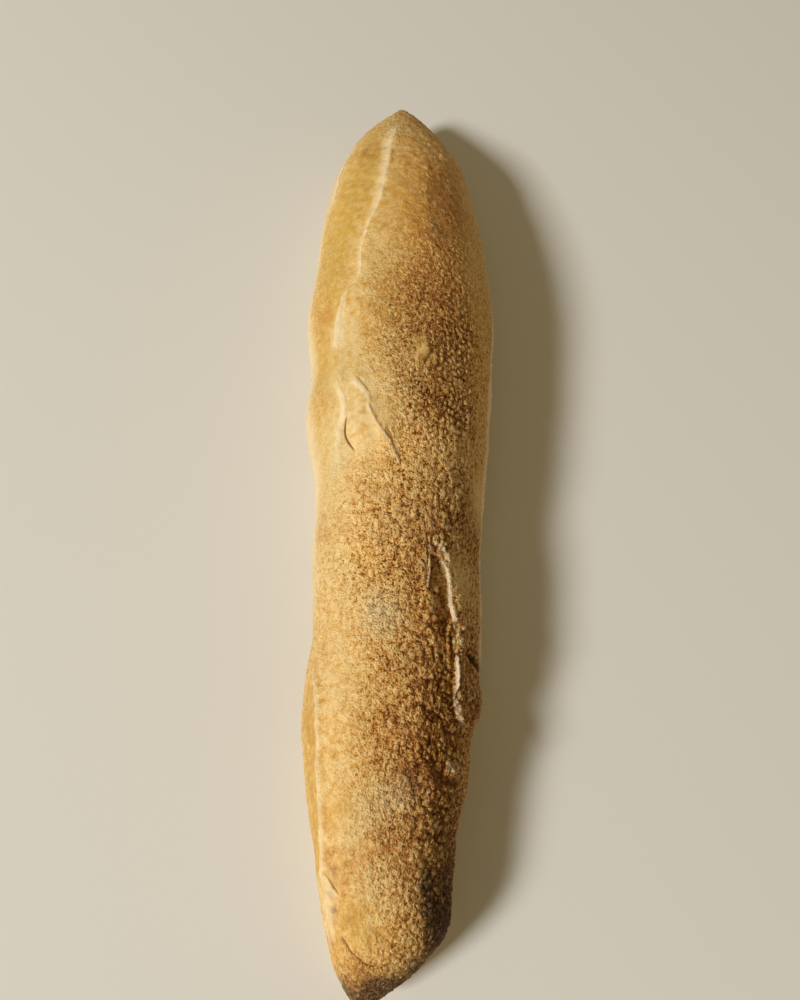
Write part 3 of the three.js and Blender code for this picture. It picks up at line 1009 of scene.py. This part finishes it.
def crust_material():
    """Baked wheat crust: matt, unevenly browned, golden islands between dark lines, a dust of flour."""
    material, tree = empty_material("baked_wheat_crust")
    place = add_node(tree, "ShaderNodeTexCoord", output="Object")
    finish = {name: add_node(tree, "ShaderNodeAttribute", output="Fac", attribute_name=name)
              for name in ("bake", "grain", "crevice", "lined", "tint_and_painted_light", *FINISHES)}
    noises = {}
    for name, (size, detail, roughness) in NOISES.items():
        settings = {"Vector": place, "Scale": 1 / (size * MM), "Detail": detail, "Roughness": roughness}
        noises[name] = add_node(tree, "ShaderNodeTexNoise", settings, "Fac")
    noises["grain"] = add_node(tree, "ShaderNodeMix", {0: GRAIN_MIX, 2: noises["fine"], 3: noises["lumpy"]},
                               data_type="FLOAT")

    islands = crust_islands(tree, place, noises["lumpy"], finish["lined"])
    shown = add_node(tree, "ShaderNodeValToRGB", {"Fac": crust_bake(tree, noises, finish, islands)})
    stops = shown.node.color_ramp.elements
    for baked, _ in BAKED_COLOURS[1:-1]:
        stops.new(baked)
    for stop, (_, code) in zip(stops, BAKED_COLOURS):
        stop.color = colour(code)
    # Brighter, redder tint, and painted light along the shaded right flank
    shown = add_node(tree, "ShaderNodeMix", {0: finish["tint_and_painted_light"], 6: shown, 7: TINT_AND_PAINTED_LIGHT_FACTORS}, 2, data_type="RGBA",
                     blend_type="MULTIPLY")
    for name, (code, breaks, at_lows, at_highs) in FINISHES.items():
        share = add_node(tree, "ShaderNodeMapRange", (noises[breaks], *FINISH_BREAKS, at_lows, at_highs))
        share = add_node(tree, "ShaderNodeMath", (share, finish[name]), operation="MULTIPLY")
        shown = add_node(tree, "ShaderNodeMix", {0: share, 6: shown, 7: colour(code)}, 2, data_type="RGBA")

    height = add_node(tree, "ShaderNodeMath", (islands, LINE_HEIGHT, noises["grain"]),
                      operation="MULTIPLY_ADD")
    height = add_node(tree, "ShaderNodeMath", (height, finish["grain"]), operation="MULTIPLY")
    bump = add_node(tree, "ShaderNodeBump", {"Height": height, "Distance": GRAIN_DEPTH * MM, "Strength": 1})
    roughness = add_node(tree, "ShaderNodeMapRange", (finish["grain"], 0, 1, *CRUST_ROUGHNESS))
    surface = add_node(tree, "ShaderNodeBsdfPrincipled", {
        "Base Color": shown, "Roughness": roughness, "Normal": bump, "IOR": 1.45, "Specular IOR Level": 0.3})
    add_node(tree, "ShaderNodeOutputMaterial", {"Surface": surface})
    return material


def floor_material():
    """Pale matt table top, plain all over so that only the loaf's shadow shows on it."""
    material, tree = empty_material("pale_matt_table")
    surface = add_node(tree, "ShaderNodeBsdfPrincipled", {
        "Base Color": colour(FLOOR_COLOUR), "Roughness": 0.9, "Specular IOR Level": 0.0})
    add_node(tree, "ShaderNodeOutputMaterial", {"Surface": surface})
    return material


def dress_stage():
    """Floor, soft light from one side, warm fill and the camera."""
    bpy.ops.object.select_all(action="DESELECT")
    bpy.ops.mesh.primitive_plane_add(size=FLOOR_SIZE * MM)
    floor = bpy.context.active_object
    floor.name = "floor"
    floor.data.materials.append(floor_material())

    world = bpy.data.worlds.new("room")
    world.use_nodes = True
    world.node_tree.nodes.clear()
    fill = add_node(world.node_tree, "ShaderNodeBackground", (FILL_COLOUR, FILL_STRENGTH))
    add_node(world.node_tree, "ShaderNodeOutputWorld", {"Surface": fill})
    bpy.context.scene.world = world

    window = bpy.data.lights.new("window", "AREA")
    window.shape = "RECTANGLE"
    window.size, window.size_y = (size * MM for size in WINDOW_SIZE)
    window.energy = WINDOW_WATTS
    lamp = bpy.data.objects.new("window", window)
    lamp.location = Vector(TO_WINDOW) * WINDOW_AWAY * MM
    lamp.rotation_euler = Vector(TO_WINDOW).to_track_quat("Z", "Y").to_euler()
    bpy.context.scene.collection.objects.link(lamp)

    camera = bpy.data.objects.new("camera", bpy.data.cameras.new("camera"))
    camera.data.lens = SENSOR * FOCAL_LENGTH / IMAGE_HEIGHT
    camera.data.sensor_width = SENSOR
    camera.location = Vector(CAMERA_PLACE) * MM
    camera.rotation_euler = (math.radians(CAMERA_TILT), 0, 0)
    bpy.context.scene.collection.objects.link(camera)
    bpy.context.scene.camera = camera
    bpy.context.scene.view_settings.view_transform = "Standard"


loaf = model_loaf()
loaf.data.materials.clear()
loaf.data.materials.append(crust_material())
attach(loaf, "root")
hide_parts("loaf")
dress_stage()
